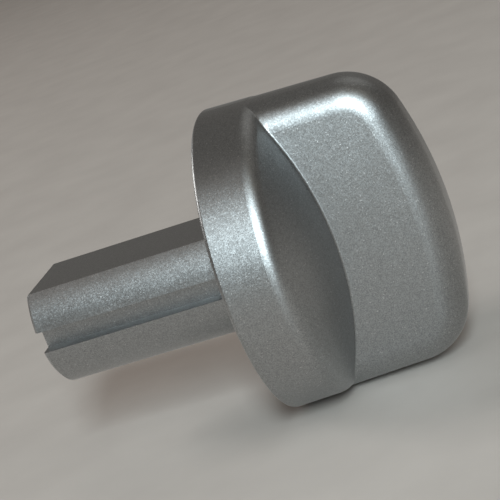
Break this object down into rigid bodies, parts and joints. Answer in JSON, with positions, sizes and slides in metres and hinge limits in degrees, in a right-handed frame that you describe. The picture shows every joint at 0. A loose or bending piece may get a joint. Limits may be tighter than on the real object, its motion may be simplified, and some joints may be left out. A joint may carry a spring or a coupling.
{
  "type": "oven temperature knob",
  "caption": "Silver push-on oven temperature knob: round skirt, tall domed grip bar between two side scoops, and a long flatted, grooved stem with a D-shaped shaft socket and spring clip.",
  "frame": {"origin": "centre of the stem's end face, on the shaft axis at the mouth of the socket", "axes": "+Y along the shaft axis, out of the socket towards the appliance; -Y towards the domed front; +Z along the grip bar, on the side of the stem's flat (the knob's off position)"},
  "size_m": [0.04, 0.0547, 0.04],
  "materials": {
    "silver_paint": "satin metallic silver paint over moulded plastic",
    "spring_steel": "bright spring strip"
  },
  "bodies": {
    "root": {"knob_body": "silver_paint", "shaft_spring_clip": "spring_steel"}
  },
  "joints": []
}
